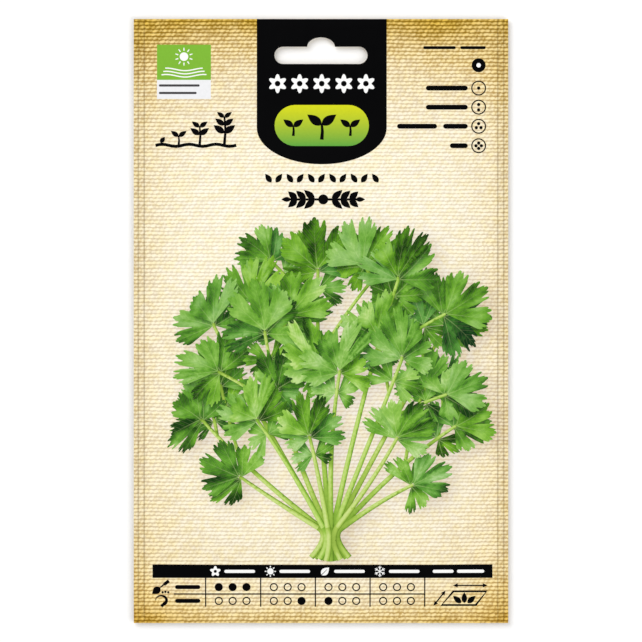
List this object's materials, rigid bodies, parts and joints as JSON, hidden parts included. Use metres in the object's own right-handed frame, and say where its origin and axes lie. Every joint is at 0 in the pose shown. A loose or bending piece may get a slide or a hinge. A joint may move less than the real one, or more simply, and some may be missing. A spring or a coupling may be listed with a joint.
{
  "type": "seed packet",
  "caption": "Flat paper seed packet with a hang slot, a printed herb picture and a sowing calendar, filled with seeds.",
  "frame": {"origin": "on the resting plane, under the middle of the packet", "axes": "+X to the packet's right seen from the front, +Y towards the top edge with the hang slot, +Z out of the printed front"},
  "size_m": [0.1, 0.1614, 0.0053],
  "materials": {
    "printed_front": "satin coated paper printed with a cream burlap weave, a herb picture and a calendar",
    "printed_back": "satin coated paper printed with a cream burlap weave",
    "seed_husk": "dry matt ribbed husk"
  },
  "bodies": {
    "root": {"front_panel": "printed_front", "back_panel": "printed_back", "coriander_seeds": "seed_husk"}
  },
  "joints": []
}
